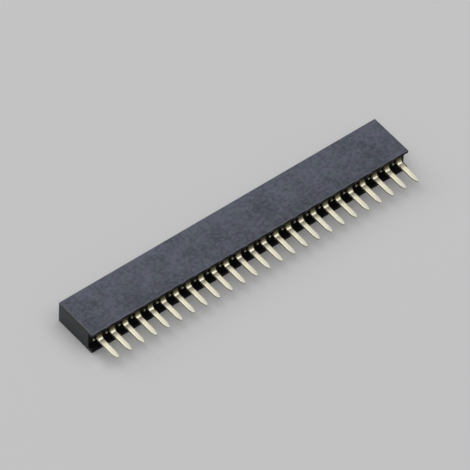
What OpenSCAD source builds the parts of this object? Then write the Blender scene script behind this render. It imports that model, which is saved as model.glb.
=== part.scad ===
// Female pin header strip: one moulded housing and a row of one-piece stamped contacts.
// The strip lies on its long side. X runs along the row, the solder tails point to -Y, the
// pin entries face +Y, and Z is the housing's thickness. The origin is on the supporting
// surface, under the middle of the strip's outline.

/* [Row] */
// Number of contacts in the row
ways = 25; // [2:1:50]
// Distance between neighbouring contacts
pitch = 1.27; // [1.2:0.01:2.54]
// Middle of an end contact to the end of the housing
end_margin = 0.85; // [0.7:0.05:2]

/* [Housing] */
// Height of the housing, from its seating plane to its mating face
body_height = 4.3; // [3.9:0.1:8.5]
// Thickness of the housing across the row
body_thickness = 2.2; // [2.1:0.05:3]
// Chamfer along the housing's long edges
edge_chamfer = 0.06; // [0.02:0.01:0.1]
// Thickness of the two rails that stand on the circuit board
rail_thickness = 0.29; // [0.2:0.01:0.32]
// Depth of the channel between the rails, open at both ends
channel_depth = 0.5; // [0.38:0.01:0.6]
// Width of a contact's cavity along the row
cavity_width = 0.84; // [0.8:0.01:0.92]
// Wall between a cavity and the housing's long side
cavity_wall = 0.33; // [0.3:0.01:0.36]

/* [Pin entry] */
// Thickness of the wall that the pins enter through
entry_wall = 0.55; // [0.45:0.05:0.8]
// Side of the square hole that a pin passes
entry_hole = 0.54; // [0.5:0.02:0.6]
// Side of the entry's flared mouth
entry_mouth = 0.86; // [0.7:0.02:0.96]
// Depth of the flare
entry_flare = 0.3; // [0.2:0.05:0.4]

/* [Contact] */
// Thickness of the sheet that a contact is stamped from
sheet = 0.2; // [0.15:0.01:0.2]
// Width of the solder tail
tail_width = 0.44; // [0.34:0.02:0.46]
// Reach of the solder tail past the seating plane
tail_length = 2.28; // [1.6:0.04:3.4]
// Length of the tapered end of the tail
tip_length = 0.5; // [0.1:0.05:0.7]
// Width of the tail's end
tip_width = 0.14; // [0.1:0.02:0.28]
// Width of the upright step that joins the tail to the upper leaf
step_width = 0.48; // [0.46:0.02:0.6]
// Distance of that step behind the seating plane
step_setback = 0.14; // [0.06:0.01:0.15]
// Inner radius of the bend between the tail and the step
foot_radius = 0.28; // [0.18:0.01:0.28]
// Inner radius of the bend between the step and the upper leaf
shoulder_radius = 0.08; // [0.06:0.01:0.08]
// Free space between a leaf and the cavity's roof or floor
leaf_clearance = 0.05; // [0.02:0.01:0.08]
// Reach of the retaining barbs, which press on the cavity's side wall
barb_reach = 0.05; // [0.03:0.01:0.08]
// Length of the box section that joins the two leaves
box_length = 1.3; // [1:0.05:1.6]
// Distance that the lower leaf starts behind the upper one
leaf_setback = 0.5; // [0.3:0.05:0.6]
// Reach of the nib on the spine's front edge past the cavity, into the channel
nib_lead = 0.1; // [0.06:0.01:0.12]
// Height of that nib
nib_height = 0.24; // [0.16:0.02:0.28]
// Drop of the nib's middle below the middle of the contact
nib_drop = 0.22; // [0.16:0.01:0.24]
// Gap between the two fingers where they grip a pin
grip_gap = 0.28; // [0.2:0.02:0.34]
// Distance from the grip to the entry wall
grip_setback = 0.5; // [0.4:0.05:0.7]
// Width of a finger at its root
finger_root_width = 0.52; // [0.4:0.02:0.6]
// Width of a finger at its end
finger_end_width = 0.34; // [0.26:0.02:0.4]
// Radius on the inside of a finger's rounded grip
grip_radius = 0.3; // [0.2:0.02:0.4]
// Free space between the finger ends and the entry wall
finger_clearance = 0.12; // [0.06:0.02:0.2]

/* [Hidden] */
function two_digits(n) = n < 10 ? str("0", n) : str(n);
CONTACTS = [for (n = [1:ways]) str("contact_", two_digits(n))];

body_length = (ways - 1) * pitch + 2 * end_margin;
seat_y = (tail_length - body_height) / 2;      // plane of the rails' ends
mate_y = seat_y + body_height;                 // plane of the mating face
floor_y = seat_y + channel_depth;              // bottom of the channel
entry_y = mate_y - entry_wall;                 // inner end of the cavities
mid_z = body_thickness / 2;                    // the tails and sockets lie in this plane
cavity_height = body_thickness - 2 * cavity_wall;
cavity_overrun = 0.3;                          // how far a cavity's cutter starts in the channel

half_cavity = cavity_width / 2;
leaf_edge = half_cavity - barb_reach;          // free edge of the leaves, opposite the spine
leaf_z = cavity_height / 2 - leaf_clearance - sheet / 2;
foot_mid = foot_radius + sheet / 2;            // radii of the two bends in the middle
shoulder_mid = shoulder_radius + sheet / 2;    // of the sheet
step_y = seat_y + step_setback + sheet / 2;    // the upright step's middle plane
box_end_y = floor_y + box_length;
grip_y = entry_y - grip_setback;
grip_mid = grip_radius + sheet / 2;
finger_end_y = entry_y - finger_clearance;
grip_z = (grip_gap + sheet) / 2;
root_slope = atan((leaf_z - grip_z) / (grip_y - box_end_y));
flare_slope = 32;                              // how steeply a finger's end opens, in degrees
barb_y = (floor_y + leaf_setback + box_end_y) / 2;     // middle of the lower leaf
box_overlap = 0.25;                            // run of the strips inside the box section
corner_radius = 0.18;                          // outside of the folds along the spine
barb_length = 0.26;
barb_flat = 0.08;
arc_steps = 3;                                 // straight runs in a bend of the step
fold_steps = 2;                                // the same in a fold or a grip

function contact_x(i) = (i - (ways - 1) / 2) * pitch;

// Points on an arc about c, of radius r, from angle a0 to a1.
function arc(c, r, a0, a1, steps = arc_steps) =
    [for (k = [0:steps]) let (a = a0 + (a1 - a0) * k / steps) c + r * [cos(a), sin(a)]];

// Outline of a sheet of thickness t whose middle follows the points p.
function sheet_outline(p, t) =
    let (
        last = len(p) - 1,
        run = [for (k = [0:last - 1]) let (d = p[k + 1] - p[k]) d / norm(d)],
        mitre = [for (k = [0:last])
            let (
                a = run[max(k - 1, 0)],
                b = run[min(k, last - 1)],
                n = [-a[1] - b[1], a[0] + b[0]]
            ) n / (n * [-a[1], a[0]])]
    )
    concat([for (k = [0:last]) p[k] + mitre[k] * t / 2],
           [for (k = [last:-1:0]) p[k] - mitre[k] * t / 2]);

// Middle line of the grip and the flared end of a finger, for a finger above the pin.
function finger_end() =
    let (grip = arc([grip_y, grip_z + grip_mid], grip_mid, 270 - root_slope, 270 + flare_slope,
                   fold_steps))
    concat(grip, [grip[len(grip) - 1]
                  + (finger_end_y - grip[len(grip) - 1][0]) * [1, tan(flare_slope)]]);

// Extrudes a Y-Z section along X, centred, to the given width.
module across(width)
    translate([-width / 2, 0, 0])
        rotate([90, 0, 90]) linear_extrude(width) children();

// Extrudes an X-Z section along Y, from y0 to y1.
module along(y0, y1)
    translate([0, y1, 0]) rotate([90, 0, 0]) linear_extrude(y1 - y0) children();

// A square hole along Y whose side goes from a at y0 to b at y1.
module square_flare(y0, a, y1, b) {
    side = [[y0, -a / 2], [y1, -b / 2], [y1, b / 2], [y0, a / 2]];
    intersection() {
        across(max(a, b)) polygon(side);
        rotate([0, 90, 0]) across(max(a, b)) polygon(side);
    }
}

// ---- Housing: one moulding, black plastic ----

// Y-Z section of the housing: a block with chamfered long edges and the channel cut in front.
module housing_section() {
    c = edge_chamfer;
    difference() {
        translate([seat_y, 0])
            polygon([[c, 0], [body_height - c, 0], [body_height, c],
                     [body_height, body_thickness - c], [body_height - c, body_thickness],
                     [c, body_thickness], [0, body_thickness - c], [0, c]]);
        translate([seat_y - 1, rail_thickness])
            square([1 + channel_depth, body_thickness - 2 * rail_thickness]);
    }
}

// The space for one contact: its cavity, the square hole and the flared mouth.
module contact_space() {
    translate([-half_cavity, floor_y - cavity_overrun, -cavity_height / 2])
        cube([cavity_width, entry_y - floor_y + cavity_overrun, cavity_height]);
    translate([-entry_hole / 2, entry_y - entry_flare, -entry_hole / 2])
        cube([entry_hole, entry_wall + 2 * entry_flare, entry_hole]);
    square_flare(mate_y - entry_flare, entry_hole,
                 mate_y + entry_flare, 2 * entry_mouth - entry_hole);
}

module housing()
    color([0.16, 0.17, 0.19]) difference() {
        across(body_length) housing_section();
        for (i = [0:ways - 1]) translate([contact_x(i), 0, mid_z]) contact_space();
    }

// ---- Contact: one stamping, gold-plated phosphor bronze ----

// Y-Z section of the strip that runs from the tail's tip to the end of the upper finger.
module upper_section()
    polygon(sheet_outline(concat(
        [[seat_y - tail_length, 0]],
        arc([step_y - foot_mid, foot_mid], foot_mid, -90, 0),
        arc([step_y + shoulder_mid, leaf_z - shoulder_mid], shoulder_mid, 180, 90),
        [[box_end_y, leaf_z]],
        finger_end()), sheet));

// Y-Z section of the lower finger.
module lower_section()
    mirror([0, 1])
        polygon(sheet_outline(concat([[box_end_y - box_overlap, leaf_z], [box_end_y, leaf_z]],
                                     finger_end()), sheet));

// Plan outline of the tail and the upright step.
module tail_plan() {
    tip_y = seat_y - tail_length;
    half = [[tip_width / 2, tip_y], [tail_width / 2, tip_y + tip_length],
            [tail_width / 2, step_y - foot_mid], [step_width / 2, step_y - sheet / 2],
            [step_width / 2, floor_y + box_overlap]];
    polygon(concat(half, [for (k = [len(half) - 1:-1:0]) [-half[k][0], half[k][1]]]));
}

// Plan outline of a finger, tapering from the box section to its end.
module finger_plan() {
    a = finger_root_width / 2;
    b = finger_end_width / 2;
    polygon([[a, box_end_y - box_overlap], [a, box_end_y], [b, finger_end_y], [-b, finger_end_y],
             [-a, box_end_y], [-a, box_end_y - box_overlap]]);
}

// X-Z section of the upper leaf and the spine, folded to a corner, down to the height z.
module corner_section(z) {
    top = leaf_z + sheet / 2;
    r = corner_radius;
    polygon(concat([[leaf_edge, top]],
                   arc([r - half_cavity, top - r], r, 90, 180, fold_steps),
                   [[-half_cavity, z], [sheet - half_cavity, z],
                    [sheet - half_cavity, top - sheet], [leaf_edge, top - sheet]]));
}

// The box section that carries the fingers: two leaves joined by the spine, open towards +X.
// The spine starts first, with its nib, then the upper leaf, and then the lower one.
module box() {
    along(floor_y - nib_lead, floor_y + box_overlap)
        translate([-half_cavity, -nib_drop - nib_height / 2]) square([sheet, nib_height]);
    along(floor_y, box_end_y) corner_section(sheet - leaf_z);
    along(floor_y + leaf_setback, box_end_y) {
        corner_section(-sheet / 2);
        mirror([0, 1]) corner_section(-sheet / 2);
    }
}

// Barb on the free edge of one leaf, whose flat tip presses on the cavity's side wall.
module barb(z)
    translate([leaf_edge, barb_y, z - sheet / 2])
        linear_extrude(sheet)
            polygon([[-barb_reach, -barb_length / 2], [0, -barb_length / 2],
                     [barb_reach, -barb_flat / 2], [barb_reach, barb_flat / 2],
                     [0, barb_length / 2], [-barb_reach, barb_length / 2]]);

module contact()
    color([0.86, 0.74, 0.45]) union() {
        intersection() {
            across(cavity_width) upper_section();
            translate([0, 0, -body_thickness]) linear_extrude(2 * body_thickness)
                union() { tail_plan(); finger_plan(); }
        }
        intersection() {
            across(cavity_width) lower_section();
            translate([0, 0, -body_thickness]) linear_extrude(2 * body_thickness) finger_plan();
        }
        box();
        barb(leaf_z);
        barb(-leaf_z);
    }

housing();
for (i = [0:ways - 1])
    translate([contact_x(i), 0, mid_z]) contact();
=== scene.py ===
import math

import bmesh
import bpy
import numpy as np
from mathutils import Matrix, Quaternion, Vector


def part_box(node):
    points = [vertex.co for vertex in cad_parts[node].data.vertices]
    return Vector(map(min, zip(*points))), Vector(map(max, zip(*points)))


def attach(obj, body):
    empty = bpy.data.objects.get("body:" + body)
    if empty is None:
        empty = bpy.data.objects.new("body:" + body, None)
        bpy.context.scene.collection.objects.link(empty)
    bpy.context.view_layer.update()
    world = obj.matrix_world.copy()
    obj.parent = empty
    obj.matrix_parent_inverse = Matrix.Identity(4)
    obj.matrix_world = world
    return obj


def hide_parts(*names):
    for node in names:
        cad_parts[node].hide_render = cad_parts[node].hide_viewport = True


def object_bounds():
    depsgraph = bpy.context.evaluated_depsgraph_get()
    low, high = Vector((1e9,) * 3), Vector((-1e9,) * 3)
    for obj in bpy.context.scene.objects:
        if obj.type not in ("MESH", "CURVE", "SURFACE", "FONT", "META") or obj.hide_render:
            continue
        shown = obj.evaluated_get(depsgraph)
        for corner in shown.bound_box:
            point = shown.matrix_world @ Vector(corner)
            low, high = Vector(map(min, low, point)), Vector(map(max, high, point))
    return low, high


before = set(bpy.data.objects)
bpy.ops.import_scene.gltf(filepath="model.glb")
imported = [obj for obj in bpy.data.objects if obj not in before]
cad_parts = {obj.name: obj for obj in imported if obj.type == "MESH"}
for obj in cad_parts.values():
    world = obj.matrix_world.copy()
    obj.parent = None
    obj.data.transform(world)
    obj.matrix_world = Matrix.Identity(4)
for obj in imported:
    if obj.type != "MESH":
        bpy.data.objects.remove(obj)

cad_low, cad_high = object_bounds()


# ---------------------------------------------------------------------------------------
# Studio. The header lies on a pale grey table, under a broad lamp overhead, a smaller one
# behind it and a pale sky. The camera has a long lens and looks across the solder tails.

MM = 0.001
housing_low, housing_high = (np.array(corner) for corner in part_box("housing"))

camera_azimuth = -40.53  # degrees, from the solder tails' side
camera_elevation = 49.28  # degrees over the table
camera_roll = 2.62  # degrees about the line of sight
camera_distance = 604.1 * MM
camera_lens = 580.7  # focal length
camera_nudge = Vector((-0.02, -0.03, 0)) * MM  # from the housing's centre to the aim


def add_object(name, data):
    """A new object with that mesh, lamp or camera, linked to the scene."""
    thing = bpy.data.objects.new(name, data)
    bpy.context.scene.collection.objects.link(thing)
    return thing


def look_back(thing, aim, azimuth, elevation, distance, roll=0):
    """Puts a camera or lamp at a distance from aim, turned back towards it.

    The azimuth goes from -Y towards +X and the elevation from level towards +Z. The roll is
    about the line of sight, and all three are in degrees.
    """
    a, e = math.radians(azimuth), math.radians(elevation)
    away = Vector((math.sin(a) * math.cos(e), -math.cos(a) * math.cos(e), math.sin(e)))
    thing.location = aim + away * distance
    thing.rotation_mode = "QUATERNION"
    thing.rotation_quaternion = ((-away).to_track_quat("-Z", "Y")
                                 @ Quaternion((0, 0, 1), math.radians(roll)))


camera = add_object("camera", bpy.data.cameras.new("camera"))
camera.data.lens = camera_lens
camera.data.clip_start = 0.01
camera.data.clip_end = 10
look_back(camera, Vector((housing_low + housing_high) / 2) + camera_nudge,
          camera_azimuth, camera_elevation, camera_distance, camera_roll)
bpy.context.scene.camera = camera
bpy.context.scene.view_settings.view_transform = "Standard"


class Value:
    """An output of a shader node. Arithmetic on it adds Math nodes beside that node."""

    def __init__(self, nodes, socket):
        self.nodes = nodes
        self.socket = socket

    def math(self, operation, *inputs):
        """The result of one Math node."""
        return self.nodes.add("ShaderNodeMath", {"operation": operation}, dict(enumerate(inputs)))

    def __add__(self, other):
        return self.math("ADD", self, other)

    def __sub__(self, other):
        return self.math("SUBTRACT", self, other)

    def __rsub__(self, other):
        return self.math("SUBTRACT", other, self)

    def __mul__(self, other):
        return self.math("MULTIPLY", self, other)

    __radd__ = __add__
    __rmul__ = __mul__

    def above(self, other):
        """The larger of the two."""
        return self.math("MAXIMUM", self, other)

    def size(self):
        """The value without its sign."""
        return self.math("ABSOLUTE", self)

    def cosine(self):
        """The cosine of an angle in radians."""
        return self.math("COSINE", self)

    def band(self, start, end):
        """0 at start, 1 at end, straight between them and held level outside them."""
        return self.nodes.add("ShaderNodeMapRange", {"clamp": True},
                              {"Value": self, "From Min": start, "From Max": end})


class Nodes:
    """The node tree of a material or of the world."""

    def __init__(self, owner):
        owner.use_nodes = True
        self.tree = owner.node_tree

    def feed(self, node, inputs):
        """Puts a number, a colour or a link on each named or numbered input of a node."""
        for key, value in inputs.items():
            socket = node.inputs[key]
            if isinstance(value, Value):
                self.tree.links.new(value.socket, socket)
            elif socket.type == "RGBA":
                socket.default_value = (*value, 1)
            else:
                socket.default_value = value

    def add(self, kind, settings, inputs, output=0):
        """Adds a node of any kind, sets it up and returns one of its outputs."""
        node = self.tree.nodes.new(kind)
        for name, setting in settings.items():
            setattr(node, name, setting)
        self.feed(node, inputs)
        return Value(self, node.outputs[output])


table_colour = (0.566, 0.565, 0.571)
table_half = 1500 * MM  # half of its side
table_drop = 0.001 * MM  # gap under the header, so that no two faces coincide
table_material = bpy.data.materials.new("table")
paper = Nodes(table_material)
paper.feed(paper.tree.nodes["Principled BSDF"], {"Base Color": table_colour, "Roughness": 0.9,
                                                 "Specular IOR Level": 0.0})
table_mesh = bpy.data.meshes.new("table")
table_corners = np.array([(-1, -1), (1, -1), (1, 1), (-1, 1)]) * table_half
table_mesh.from_pydata([(x, y, -table_drop) for x, y in table_corners], [], [(0, 1, 2, 3)])
table_mesh.materials.append(table_material)
table = add_object("table", table_mesh)

sky_light = 0.2  # brightness of the sky as a lamp
sky_seen = 0.35  # and as it is seen, in a reflection too
world = bpy.data.worlds.new("sky")
bpy.context.scene.world = world
sky = Nodes(world)
camera_ray, glossy_ray, through_ray = (sky.add("ShaderNodeLightPath", {}, {}, output=name)
                                       for name in ("Is Camera Ray", "Is Glossy Ray",
                                                    "Is Transmission Ray"))
seen = camera_ray.above(glossy_ray).above(through_ray)
sky.feed(sky.tree.nodes["Background"], {"Color": (1, 1, 1),
                                        "Strength": sky_light + (sky_seen - sky_light) * seen})


def lamp(name, azimuth, elevation, distance, size, radiance):
    """A square softbox that faces the header from an azimuth and elevation in degrees.

    Its power is pi times its area times the radiance, so 1 is the brightness of white paper.
    """
    light = bpy.data.lights.new(name, "AREA")
    light.size = size
    light.energy = math.pi * size ** 2 * radiance
    look_back(add_object(name, light), Vector((0, 0, 0)), azimuth, elevation, distance)


lamp("overhead", azimuth=70, elevation=84, distance=0.5, size=0.72, radiance=1.65)
lamp("rear", azimuth=200, elevation=36, distance=0.5, size=0.30, radiance=1.9)


# ---------------------------------------------------------------------------------------
# Housing. One moulding in black glass-filled plastic. Two rails stand on the circuit board
# with an open channel between them, and each contact has a cavity that runs from the
# channel to a flared square pin entry in the mating face.

rail = 0.29 * MM  # thickness of each rail
channel = 0.50 * MM  # depth of the channel between the rails
cavity_half = np.array([0.425, 0.77]) * MM  # half of a cavity's width and height
entry_wall = 0.55 * MM  # wall between the cavities and the mating face
entry_half = 0.27 * MM  # half of a pin entry's side
mouth_half = 0.43 * MM  # the same at its flared mouth
flare = 0.30 * MM  # depth of the flare
outer_edge = 0.07 * MM  # radius of the long outer edges
end_edge = 0.05 * MM  # radius of the edges round both ends
rail_edge = 0.05 * MM  # radius of the rails' inner edges
channel_fillet = 0.03 * MM  # radius of the channel's inner corners
cavity_fillet = 0.06 * MM  # radius of a cavity's corners
mouth_edge = 0.020 * MM  # width of the rounded rims of the cavities and entries
plate_margin = 0.032 * MM  # gap from the rails to the flat part of the channel's floor
arc_points = 5  # points on each rounded edge
side_runs = 6  # steps along each side of a ring
corner_runs = 2  # steps of those on each corner arc
merge_distance = 1e-4 * MM  # under which two points are one

contact_names = sorted(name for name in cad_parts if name.startswith("contact_"))
seat_y, mate_y = housing_low[1], housing_high[1]
floor_y = seat_y + channel
entry_y = mate_y - entry_wall
thickness = housing_high[2]
middle_z = thickness / 2
contact_x = np.array([(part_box(name)[0][0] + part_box(name)[1][0]) / 2 for name in contact_names])
pitch = (contact_x[-1] - contact_x[0]) / (len(contact_x) - 1)
plate_half = middle_z - rail - plate_margin
side_share = np.arange(side_runs + 1) / side_runs


def corner_arcs(corners):
    """Arcs that round the corners (y, z, radius) of a closed outline, all at once.

    A corner's arc is centred one radius back along the run that comes to it and one radius
    to the side it turns to. From there its ray swings from square to that run to along it.
    Returns points and unit normals, on the left of the direction of travel, as arrays of
    corner, step and coordinate.
    """
    place, radius = corners[:, :2], corners[:, None, 2:]
    come = place - np.roll(place, 1, axis=0)
    come /= np.linalg.norm(come, axis=1)[:, None]
    go = np.roll(come, -1, axis=0)
    turn = np.sign(come[:, 0] * go[:, 1] - come[:, 1] * go[:, 0])[:, None, None]
    come = come[:, None]
    left = np.stack([-come[..., 1], come[..., 0]], axis=-1)
    swing = np.linspace(0, math.pi / 2, arc_points)[None, :, None]
    ray = come * np.sin(swing) - left * turn * np.cos(swing)
    centre = place[:, None] + (left * turn - come) * radius
    return centre + ray * radius, -ray * turn


def round_rings(half_x, half_z, radius):
    """Closed rings round rectangles with rounded corners, one for each entry of the arrays.

    Every side has side_runs steps between the middles of its two corner arcs, of which
    corner_runs lie on each arc, so rings of any two sizes can be joined point to point.
    The last two sides are the first two turned half round.
    """
    half_x, half_z, radius = (values[:, None] for values in (half_x, half_z, radius))
    arc = np.linspace(math.pi / 4, 0, corner_runs + 1)
    straight = np.linspace(-1, 1, side_runs - 2 * corner_runs + 1)[1:-1]

    def side(half):
        """Places along one side: an arc, the straight between the arcs and the other arc."""
        return np.concatenate([radius * (1 - np.sin(arc)) - half, (half - radius) * straight,
                               half - radius * (1 - np.sin(arc[::-1]))], axis=1)

    drop = np.concatenate([radius * (1 - np.cos(arc)), radius * 0 * straight,
                           radius * (1 - np.cos(arc[::-1]))], axis=1)
    bottom = np.stack([side(half_x), drop - half_z], axis=-1)[:, :-1]
    right = np.stack([half_x - drop, side(half_z)], axis=-1)[:, :-1]
    return np.concatenate([bottom, right, -bottom, -right], axis=1)


def plain_ring(half_x, half_z):
    """A closed ring round a sharp rectangle, evenly stepped, that matches round_rings."""
    share = 2 * side_share[:-1] - 1
    bottom = np.stack([share * half_x, np.full(side_runs, -half_z)], axis=1)
    right = np.stack([np.full(side_runs, half_x), share * half_z], axis=1)
    return np.concatenate([bottom, right, -bottom, -right])[None]


def grid_faces(rows, columns, closed):
    """Corner numbers of the four-sided faces of a grid of points, stored row by row."""
    i, j = np.meshgrid(np.arange(rows - 1), np.arange(columns if closed else columns - 1),
                       indexing="ij")
    following = (j + 1) % columns
    corners = [i * columns + j, i * columns + following,
               (i + 1) * columns + following, (i + 1) * columns + j]
    return np.stack(corners, axis=-1)


def build_mesh(name, points, faces, caps=()):
    """A smooth mesh from arrays of points and of four-sided faces, and lists for its caps.

    Its doubles are merged first, and then its normals are turned out.
    """
    mesh = bpy.data.meshes.new(name)
    mesh.from_pydata(points.tolist(), [], faces.tolist() + [list(cap) for cap in caps])
    work = bmesh.new()
    work.from_mesh(mesh)
    bmesh.ops.remove_doubles(work, verts=work.verts, dist=merge_distance)
    bmesh.ops.recalc_face_normals(work, faces=work.faces)
    work.to_mesh(mesh)
    work.free()
    mesh.shade_smooth()
    return mesh


def housing_shell():
    """Points, faces and caps of the moulding, with an opening on both sides of each cavity.

    The y-z section is swept over stations in x. At both ends the stations close in on a
    quarter circle while the section shrinks by the same arc, which rounds the end's edges.
    Over each contact the flat faces of the channel's floor and of the mating face, between
    the rails, are left out.
    """
    corners = np.array([(floor_y, rail, channel_fillet),
                        (floor_y, thickness - rail, channel_fillet),
                        (seat_y, thickness - rail, rail_edge), (seat_y, thickness, outer_edge),
                        (mate_y, thickness, outer_edge), (mate_y, 0, outer_edge),
                        (seat_y, 0, outer_edge), (seat_y, rail, rail_edge)])
    arcs, rays = corner_arcs(corners)
    plate = middle_z - plate_half + 2 * plate_half * side_share
    run = np.ones((side_runs + 1, 1))
    outline = np.concatenate([arcs[0], np.stack([run[:, 0] * floor_y, plate], axis=1),
                              arcs[1:5].reshape(-1, 2),
                              np.stack([run[:, 0] * mate_y, plate[::-1]], axis=1),
                              arcs[5:].reshape(-1, 2)])
    normals = np.concatenate([rays[0], run * (-1, 0), rays[1:5].reshape(-1, 2), run * (1, 0),
                              rays[5:].reshape(-1, 2)])

    cell_runs = len(contact_x) * side_runs
    cells = contact_x[0] - pitch / 2 + pitch * np.arange(cell_runs + 1) / side_runs
    quarter = np.linspace(0, math.pi / 2, arc_points)
    right = housing_high[0] - end_edge * (1 - np.sin(quarter))
    shrink = end_edge * (1 - np.cos(quarter))
    stations = np.concatenate([-right[::-1], cells, right])
    inset = np.concatenate([shrink[::-1], np.zeros(len(cells)), shrink])
    section = outline[None] - normals[None] * inset[:, None, None]
    x = np.broadcast_to(stations[:, None, None], (*section.shape[:2], 1))
    points = np.concatenate([x, section], axis=2).reshape(-1, 3)

    # Round the section the faces lie on an arc, the floor, four arcs, the mating face and
    # three arcs.
    count = len(outline)
    over_cells = np.repeat([False, True, False], [arc_points, cell_runs, arc_points])
    over_plates = np.repeat([False, True, False, True, False],
                            [arc_points, side_runs, 4 * arc_points + 1, side_runs,
                             3 * arc_points + 1])
    kept = ~(over_cells[:, None] & over_plates[None])
    faces = grid_faces(len(stations), count, closed=True)[kept]
    return points, faces, (range(count), range(len(points) - count, len(points)))


def cavity_tube():
    """Rings of one cavity and its pin entry, about x = 0, from channel to mating face.

    Each level is a y, half a width, half a height and a corner radius. A level a third of
    the way into a rim rounds it. The plain rings at both ends fit the openings in the shell.
    """
    cavity_x, cavity_z = cavity_half
    rim, part_rim, half_rim = mouth_edge, 0.3 * mouth_edge, 0.5 * mouth_edge
    levels = np.array([
        (floor_y, cavity_x + rim, cavity_z + rim, cavity_fillet),
        (floor_y + part_rim, cavity_x + part_rim, cavity_z + part_rim, cavity_fillet),
        (floor_y + rim, cavity_x, cavity_z, cavity_fillet),
        (entry_y - rim, cavity_x, cavity_z, cavity_fillet),
        (entry_y, cavity_x - rim, cavity_z - rim, cavity_fillet),
        (entry_y, entry_half + rim, entry_half + rim, rim),
        (entry_y + rim, entry_half, entry_half, rim),
        (mate_y - flare - half_rim, entry_half, entry_half, rim),
        (mate_y - flare + half_rim, entry_half + part_rim, entry_half + part_rim, rim),
        (mate_y - rim, mouth_half - half_rim, mouth_half - half_rim, 2 * rim),
        (mate_y - part_rim, mouth_half, mouth_half, 2 * rim),
        (mate_y, mouth_half + rim, mouth_half + rim, 2 * rim)])
    ring = plain_ring(pitch / 2, plate_half)
    rings = np.concatenate([ring, round_rings(*levels[:, 1:].T), ring])
    ring_y = np.concatenate([[floor_y], levels[:, 0], [mate_y]])
    return np.stack([rings[..., 0], np.broadcast_to(ring_y[:, None], rings.shape[:2]),
                     rings[..., 1] + middle_z], axis=-1)


def housing_mesh():
    """The whole moulding: the shell, with a copy of the cavity's tube at each contact."""
    points, faces, caps = housing_shell()
    tube = cavity_tube()
    tubes = tube.reshape(1, -1, 3) + contact_x[:, None, None] * np.array([1, 0, 0])
    first = len(points) + np.arange(len(contact_x)) * tubes.shape[1]
    tube_faces = grid_faces(*tube.shape[:2], closed=True).reshape(1, -1, 4)
    return build_mesh("housing_moulding", np.concatenate([points, tubes.reshape(-1, 3)]),
                      np.concatenate([faces, (tube_faces + first[:, None, None]).reshape(-1, 4)]),
                      caps)


class Finish(Nodes):
    """The material of one finish: its Principled shader and the patterns that feed it."""

    def __init__(self, name, constants):
        self.material = bpy.data.materials.new(name)
        super().__init__(self.material)
        self.shader = self.tree.nodes["Principled BSDF"]
        self.feed(self.shader, constants)
        self.position = self.add("ShaderNodeTexCoord", {}, {}, output="Object")

    def axis(self, name):
        """Position on the piece along X, Y or Z, in metres."""
        return self.add("ShaderNodeSeparateXYZ", {}, {"Vector": self.position}, output=name)

    def blend(self, factor, a, b):
        """The colour a where factor is 0 and b where it is 1."""
        return self.add("ShaderNodeMix", {"data_type": "RGBA"}, {0: factor, 6: a, 7: b}, output=2)

    def noise(self, size, detail, turn=(0, 0, 0), stretch=(1, 1, 1)):
        """Cloudy noise about 0.5, in blots about size metres across.

        It is turned by the angles turn, and then drawn out along an axis whose stretch is
        less than 1.
        """
        place = self.add("ShaderNodeMapping", {}, {"Vector": self.position, "Rotation": turn,
                                                   "Scale": stretch})
        return self.add("ShaderNodeTexNoise", {}, {"Vector": place, "Scale": 1 / size,
                                                   "Detail": detail})

    def bump(self, height, distance):
        """Raises the surface by height times distance, in metres."""
        return self.add("ShaderNodeBump", {}, {"Height": height, "Distance": distance})


# Colours of the moulded skin, which drifts between two hues, of its ends, painted darker as
# shade, of its edges, painted paler as a highlight, and of the near black painted as shade.
violet_dark, violet_pale = (0.010, 0.010, 0.030), (0.062, 0.062, 0.104)
slate_dark, slate_pale = (0.006, 0.013, 0.025), (0.051, 0.068, 0.090)
# Painted shade: the darker colour of both end faces.
end_shade_colour = (0.014, 0.018, 0.012)
# Painted highlight: the paler colour of the outer edges.
edge_highlight_colour = (0.11, 0.115, 0.14)
# Painted shade: near black for the channel, the cavities and the rails' fronts.
recess_shade_black = (0.006, 0.006, 0.007)

plastic = Finish("glass_filled_plastic", {"Specular IOR Level": 0.12, "Coat Roughness": 0.45,
                                          "Coat IOR": 1.5})
along = plastic.axis("Y")
off_centre = plastic.axis("X").size()
from_middle = (plastic.axis("Z") - middle_z).size()

# The moulded skin: glass fibres in three directions, blots of resin and slow drifts of tone.
# The tone is their weighted sum about 0.5, and grows a little towards the mating face.
flow = plastic.noise(size=2.4 * MM, detail=2)
drift = plastic.noise(size=0.9 * MM, detail=2)
hue = plastic.noise(size=0.7 * MM, detail=2, turn=(0.4, 0.8, 1.1))
blots = plastic.noise(size=0.30 * MM, detail=3)
fibre_lay = [(0, 0, 0.4), (0.3, 0.5, 1.5), (0.9, 0.2, 2.6)]
fibre_a, fibre_b, fibre_c = (plastic.noise(size=0.09 * MM, detail=1, turn=turn,
                                           stretch=(0.16, 1, 1)) for turn in fibre_lay)
fibres = fibre_a.band(0.58, 0.72) + fibre_b.band(0.58, 0.72) + fibre_c.band(0.60, 0.72)
tone = 0.7 * blots.band(0.35, 0.65) + 0.3 * fibres + 0.8 * drift + 1.2 * flow \
    + 0.5 * along.band(seat_y, mate_y) - 1.12
skin = plastic.blend(hue.band(0.35, 0.65), plastic.blend(tone, violet_dark, violet_pale),
                     plastic.blend(tone, slate_dark, slate_pale))

# The channel, the cavities and the fronts of the rails, up to the middle of their rounded
# edges, have no coat and are painted near black as shade. Between the contacts those edges
# get less of that painted shade, as painted light.
half_thick = middle_z
half_length = housing_high[0]
inside = from_middle.band(half_thick - 0.10 * MM, half_thick - 0.14 * MM) \
    * along.band(mate_y - 0.01 * MM, mate_y - 0.05 * MM) \
    * off_centre.band(half_length - 0.01 * MM, half_length - 0.04 * MM)
past_edge = along + from_middle - (seat_y + half_thick)
between = ((2 * math.pi / pitch) * (plastic.axis("X") - contact_x[0])).cosine().band(0, -1)
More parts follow.
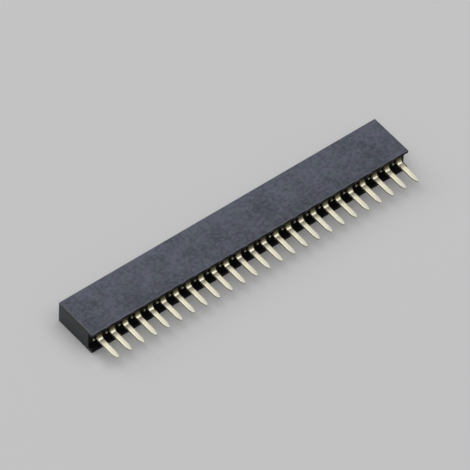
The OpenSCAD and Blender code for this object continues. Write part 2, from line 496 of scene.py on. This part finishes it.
# Painted light: the rails' upper front edges get less painted shade between the contacts.
painted_light_between = between * from_middle.band(half_thick - 0.16 * MM, half_thick - 0.02 * MM)
rail_front = along.band(seat_y + 0.06 * MM, seat_y + 0.02 * MM) \
    * past_edge.band(0.05 * MM, -0.01 * MM) * (1 - 0.8 * painted_light_between)
# Where the coat is left out, the near black colour paints the shade of the recesses.
painted_shade_uncoated = inside.above(rail_front)

# Both end faces have less coat than the skin and are painted darker, as shade. The long
# edges beside the tails and the outer edges of both ends are painted paler, as a highlight.
end_face = off_centre.band(half_length - 0.04 * MM, half_length - 0.01 * MM)
# Painted highlight on the long edges beside the tails and on the ends' outer edges.
edge_highlight = from_middle.band(half_thick - 0.05 * MM, half_thick - 0.01 * MM) \
    * along.band(seat_y + 0.11 * MM, seat_y + 0.04 * MM) \
    .above(off_centre.band(half_length - 0.11 * MM, half_length - 0.04 * MM))
# The end faces get the darker colour of painted shade.
outside = plastic.blend(0.75 * end_face, skin, end_shade_colour)
plastic.feed(plastic.shader, {
    "Base Color": plastic.blend(painted_shade_uncoated, plastic.blend(0.6 * edge_highlight, outside, edge_highlight_colour),
                                recess_shade_black),
    "Coat Weight": 1 - painted_shade_uncoated.above(0.5 * end_face),
    "Roughness": 0.50 + 0.14 * blots - 0.10 * fibres,
    "Normal": plastic.bump(blots + 0.7 * fibres, distance=0.003 * MM)})

housing = add_object("housing_moulding", housing_mesh())
housing.data.materials.append(plastic.material)
housing.modifiers.new("flat_sides", "WEIGHTED_NORMAL")
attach(housing, "root")
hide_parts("housing")


# ---------------------------------------------------------------------------------------
# Contacts. Each is one strip of gold-plated bronze sheet, stamped and folded: a solder
# tail, an upright step, an upper and a lower leaf joined by a spine, and two fingers that
# grip the pin. It is pushed into its cavity and held there by the barbs on its leaves.

sheet = 0.20 * MM  # thickness of the sheet
tail_half = 0.22 * MM  # half of the tail's width
tip_half = 0.07 * MM  # the same at the tail's end
tip_length = 0.50 * MM  # length of the taper to that end
tip_power = 1.5  # how much the sides of the taper bulge
taper_rows = np.array([0, 0.12, 0.3, 0.6, 1.0])  # shares of the taper's length
step_half = 0.24 * MM  # half of the step's width
step_face = seat_y + 0.14 * MM  # y of the step's front
foot_inside = 0.28 * MM  # inner radius of the bend below the step
shoulder_inside = 0.08 * MM  # and of the bend above it
leaf_z = 0.62 * MM  # from the header's middle plane to the middle of each leaf
leaf_edge = 0.37 * MM  # x of the leaves' free edges
leaf_setback = 0.50 * MM  # from the upper leaf's front to the lower one's
barb = 0.05 * MM  # reach of each barb past its leaf's free edge
barb_foot = 0.13 * MM  # half of a barb's length at its foot
barb_tip = 0.04 * MM  # the same at its tip
fold_start = -0.22 * MM  # x where a leaf starts to fold towards the spine
fold_middle = 0.10 * MM  # radius of the folds, to the middle of the sheet
box_length = 1.30 * MM  # length of the box section
spine_foot = -0.42 * MM  # lower end of the spine's flat, from the middle plane
nib_top = -0.10 * MM  # upper end of the nib on the spine's front edge
nib_foot = -0.34 * MM  # and its lower end
nib_lead = 0.10 * MM  # reach of the nib
finger_root_half = 0.26 * MM  # half of a finger's width where it leaves its leaf
finger_end_half = 0.17 * MM  # the same at its end
finger_clearance = 0.12 * MM  # from a finger's end to the entry wall
grip_setback = 0.50 * MM  # from the grip to the entry wall
grip_z = 0.24 * MM  # from the middle plane to the sheet's middle at the grip
grip_inside = 0.30 * MM  # inner radius of the grip's arc
flare_slope = math.radians(32)  # slope of a finger's end, away from the pin
stamped_edge = 0.018 * MM  # width that rounds a cut edge
stamped_angle = math.radians(50)  # over which an edge counts as cut
bend_runs = 8  # steps round each bend and grip
shank_runs = 6  # steps along the tail behind its taper
beam_runs = 5  # steps along a finger's straight part
width_runs = 4  # steps across the strip
fold_runs = 4  # steps round each fold

TAIL, STEP, FRONT, BOX, FINGER = range(5)  # the stretches of the strip's length
tip_y = cad_low[1]
box_end_y = floor_y + box_length
finger_end_y = entry_y - finger_clearance
barb_y = (floor_y + leaf_setback + box_end_y) / 2


def bend(centre, radius, start, end):
    """Points on an arc in the y-z plane, with the start left out. Angles are in degrees."""
    angle = np.radians(np.linspace(start, end, bend_runs + 1)[1:])
    return np.stack([centre[0] + radius * np.cos(angle), centre[1] + radius * np.sin(angle)], 1)


def finger_line():
    """Middle line of a finger above the pin, from the box section to its flared end.

    It runs straight down to the grip, round the grip's arc and up at the flare's slope,
    with one more row halfway along the flare.
    """
    grip_y = entry_y - grip_setback
    radius = grip_inside + sheet / 2
    slope = math.atan2(leaf_z - grip_z, grip_y - box_end_y)
    centre = np.array([grip_y, grip_z + radius])
    grip = bend(centre, radius, 270 - math.degrees(slope), 270 + math.degrees(flare_slope))
    grip_start = centre - radius * np.array([math.sin(slope), math.cos(slope)])
    root = np.array([box_end_y, leaf_z])
    beam = root + (grip_start - root) * np.linspace(0, 1, beam_runs + 1)[1:, None]
    reach = finger_end_y - grip[-1, 0]
    flared = grip[-1] + reach * np.array([1, math.tan(flare_slope)]) * np.array([[0.5], [1.0]])
    return np.concatenate([beam, grip, flared])


def strip_line():
    """Middle line of the upper strip, from the tail's tip to the end of the upper finger.

    The tail runs level, a quarter circle lifts it into the step and a smaller one lays it
    over into the leaf. Returns the points (y, z) and the stretch that each one is on, where
    FRONT is the front edge of the upper leaf.
    """
    foot, shoulder = foot_inside + sheet / 2, shoulder_inside + sheet / 2
    step_y = step_face + sheet / 2
    tail_end = step_y - foot
    taper = tip_y + tip_length * taper_rows
    shank = np.linspace(taper[-1], tail_end, shank_runs + 1)[1:]
    tail = np.stack([np.concatenate([taper, shank]), np.zeros(len(taper) + shank_runs)], 1)
    low_bend = bend((tail_end, foot), foot, -90, 0)
    rise = np.array([[step_y, leaf_z - shoulder]])
    high_bend = bend((step_y + shoulder, leaf_z - shoulder), shoulder, 180, 90)
    step = np.concatenate([low_bend, rise, high_bend])
    front = np.array([[floor_y, leaf_z]])
    box_y = [floor_y + leaf_setback, barb_y - barb_foot, barb_y - barb_tip,
             barb_y + barb_tip, barb_y + barb_foot, box_end_y]
    box = np.stack([box_y, np.full(len(box_y), leaf_z)], 1)
    stretches = [tail, step, front, box, finger_line()]
    return np.concatenate(stretches), np.repeat([TAIL, STEP, FRONT, BOX, FINGER],
                                                [len(points) for points in stretches])


def strip_normals(points):
    """Unit normals of a line in the y-z plane, square to the mean of its two runs there."""
    run = np.diff(points, axis=0)
    run /= np.linalg.norm(run, axis=1)[:, None]
    mean = np.concatenate([run[:1], run[:-1] + run[1:], run[-1:]])
    mean /= np.linalg.norm(mean, axis=1)[:, None]
    return np.stack([-mean[:, 1], mean[:, 0]], 1)


def strip_sides(y, part):
    """The x of the strip's edge on the spine's side, and of its other edge, for each row.

    Half widths first. The taper adds 1 - (1 - share) ** tip_power of what the tail has over
    its tip. The bend at the foot adds 3 n ** 2 - 2 n ** 3 of what the step has over the
    tail, where n is the share of the bend that is passed. A finger narrows evenly.
    The edge on the spine's side is at minus the half width, then moves out to the start of
    the fold with the square of the way from the step to the box section, and comes back in
    along a finger, where the fourth power of the way that is left says how much remains.
    """
    tip_share = np.clip((y - tip_y) / tip_length, 0, 1)
    half = tip_half + (tail_half - tip_half) * (1 - (1 - tip_share) ** tip_power)
    neck = np.clip((y - (step_face - foot_inside)) / foot_inside, 0, 1)
    half = half + (step_half - half) * neck ** 2 * (3 - 2 * neck)
    finger_share = np.clip((y - box_end_y) / (finger_end_y - box_end_y), 0, 1)
    half = np.where(part == FINGER, finger_root_half
                    + (finger_end_half - finger_root_half) * finger_share, half)

    to_fold = np.clip((y - step_face) / (floor_y - step_face), 0, 1) ** 2
    to_fold = np.where(part == FINGER, (1 - finger_share) ** 4, to_fold)
    return -half + (half + fold_start) * to_fold, half


def thick_sheet(name, middle, normal, faces):
    """A closed mesh from the middle surface of a sheet.

    Both sides are the middle surface moved by half the sheet along its normal, and every
    edge of the middle surface that only one face uses becomes a rim between the two sides.
    Points that no face uses are left out.
    """
    count = len(middle)
    top, bottom = middle + normal * sheet / 2, middle - normal * sheet / 2
    edges = np.concatenate([faces[:, [k, (k + 1) % 4]] for k in range(4)])
    key = np.sort(edges, axis=1)
    _, index, uses = np.unique(key, axis=0, return_index=True, return_counts=True)
    rim = edges[index[uses == 1]]
    walls = np.stack([rim[:, 1], rim[:, 0], rim[:, 0] + count, rim[:, 1] + count], 1)
    all_faces = np.concatenate([faces, faces[:, ::-1] + count, walls])
    used, renamed = np.unique(all_faces, return_inverse=True)
    points = np.concatenate([top, bottom])[used]
    return build_mesh(name, points, renamed.reshape(all_faces.shape))


def contact_mesh(name, centre_x):
    """One contact, folded from a flat grid of rows along its length and columns across it.

    The columns go from the upper leaf's free edge over its strip, round a quarter circle to
    the spine, down the spine, round a second one and out along the lower leaf, which is the
    upper one mirrored in the middle plane. Only the faces that the stamping has are kept.
    On the tail and the step, those are the upper strip. The box section has them all, but
    its lower leaf starts leaf_setback behind the upper one. The fingers are the two strips.
    The nib is one face more, in front of the spine, and a barb is a bulge of both leaves'
    free edges.
    """
    line, part = strip_line()
    normal = strip_normals(line)
    rows = len(line)
    y, z = line[:, 0], line[:, 1]
    spine_side, far_side = strip_sides(y, part)
    on_barb = np.abs(y - barb_y) < (barb_tip + barb_foot) / 2

    strip_x = spine_side[:, None] + (far_side - spine_side)[:, None] \
        * np.linspace(1, 0, width_runs + 1)
    leaf_x = np.concatenate([(leaf_edge + barb * on_barb)[:, None], strip_x], 1)
    leaf_columns = leaf_x.shape[1]
    leaf_height = np.repeat(z[:, None], leaf_columns, 1)
    fold_angle = np.radians(np.linspace(90, 180, fold_runs + 1)[1:])
    fold_x = fold_start + fold_middle * np.cos(fold_angle)
    fold_z = leaf_z - fold_middle + fold_middle * np.sin(fold_angle)
    spine_z = np.array([-spine_foot, nib_top, nib_foot, spine_foot])
    spine_x = np.full(len(spine_z), fold_x[-1])

    def every_row(values):
        """The same values in each row of the grid."""
        return np.repeat(values[None], rows, 0)

    grid_x = np.concatenate([leaf_x, every_row(fold_x), every_row(spine_x),
                             every_row(fold_x[::-1]), leaf_x[:, ::-1]], 1)
    grid_z = np.concatenate([leaf_height, every_row(fold_z), every_row(spine_z),
                             every_row(-fold_z[::-1]), -leaf_height], 1)
    columns = grid_x.shape[1]
    grid_y = np.repeat(y[:, None], columns, 1)
    last_step = np.flatnonzero(part == STEP)[-1]
    spine_start = leaf_columns + fold_runs
    spine_end = spine_start + len(spine_z)
    nib = spine_start + 1
    grid_y[last_step, nib:nib + 2] = floor_y - nib_lead

    normals = np.zeros((rows, columns, 3))
    normals[:, :leaf_columns, 1:] = normal[:, None]
    normals[:, -leaf_columns:, 1:] = normal[:, None] * (1, -1)
    radial = np.stack([np.cos(fold_angle), np.zeros(fold_runs), np.sin(fold_angle)], 1)
    normals[:, leaf_columns:spine_start] = radial
    normals[:, spine_start:spine_end] = (-1, 0, 0)
    normals[:, spine_end:-leaf_columns] = radial[::-1] * (1, 1, -1)

    column = np.arange(columns - 1)
    upper_strip = (column >= 1) & (column < leaf_columns - 1)
    lower_strip = upper_strip[::-1]
    before, after = part[:-1, None], part[1:, None]
    keep = (after <= FRONT) & upper_strip \
        | (after == BOX) & ((before == BOX) | (column < spine_end - 1)) \
        | (after == FINGER) & (upper_strip | lower_strip)
    keep[last_step, nib] = True
    middle = np.stack([grid_x + centre_x, grid_y, grid_z + middle_z], -1)
    return thick_sheet(name, middle.reshape(-1, 3), normals.reshape(-1, 3),
                       grid_faces(rows, columns, closed=False)[keep])


# Colours of the plating, of the painted shade that dims the tails towards their tips, and of
# the bronze under it, plain and painted darker as shade.
fresh_gold, dull_gold = (0.79, 0.75, 0.58), (0.74, 0.70, 0.53)
# Painted shade: the dimmer gold towards the tails' tips.
tip_shade_gold = (0.60, 0.58, 0.49)
# The dark bronze is painted shade.
pale_bronze, shaded_bronze = (0.28, 0.255, 0.155), (0.09, 0.08, 0.05)

plating = Finish("gold_plating", {"Metallic": 1.0})
lengthwise = plating.axis("Y")
off_middle = (plating.axis("Z") - middle_z).size()
tarnish = plating.noise(size=0.5 * MM, detail=3)
streaks = plating.noise(size=0.03 * MM, detail=1, stretch=(1, 0.06, 1))
gold = plating.blend(tarnish.band(0.3, 0.7), fresh_gold, dull_gold)
# Painted shade: the tails dim towards their tips.
tip_shade = lengthwise.band(tip_y + 1.5 * MM, tip_y + 0.2 * MM)

# The tails, the nibs and the fingers are gold. From the upper part of the step to the roots
# of the fingers the bronze is bare, which also paints the shade under the rail on the step's
# upper part and above the nibs. It is painted darkest along the leaves and inside the cavity,
# as shade.
bare_and_shaded = off_middle.band(0.18 * MM, 0.30 * MM) \
    .above(lengthwise.band(floor_y - 0.06 * MM, floor_y - 0.01 * MM)) \
    * lengthwise.band(box_end_y + 0.41 * MM, box_end_y + 0.11 * MM)
# Painted shade: darkest bronze along the leaves and inside the cavity.
bronze_shade = off_middle.band(0.28 * MM, 0.5 * MM) \
    .above(lengthwise.band(floor_y - 0.02 * MM, floor_y))
bronze = plating.blend(bronze_shade, pale_bronze, shaded_bronze)
plating.feed(plating.shader, {
    "Base Color": plating.blend(bare_and_shaded, plating.blend(tip_shade, gold, tip_shade_gold), bronze),
    "Roughness": 0.345 + 0.08 * tarnish + 0.04 * streaks,
    "Normal": plating.bump(streaks, distance=0.0006 * MM)})

for name, centre_x in zip(contact_names, contact_x):
    piece = add_object(name + "_stamping", contact_mesh(name + "_stamping", centre_x))
    piece.data.materials.append(plating.material)
    edges = piece.modifiers.new("stamped_edges", "BEVEL")
    edges.width = stamped_edge
    edges.use_clamp_overlap = False
    edges.segments = 2
    edges.limit_method = "ANGLE"
    edges.angle_limit = stamped_angle
    piece.modifiers.new("flat_sides", "WEIGHTED_NORMAL")
    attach(piece, "root")
    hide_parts(name)
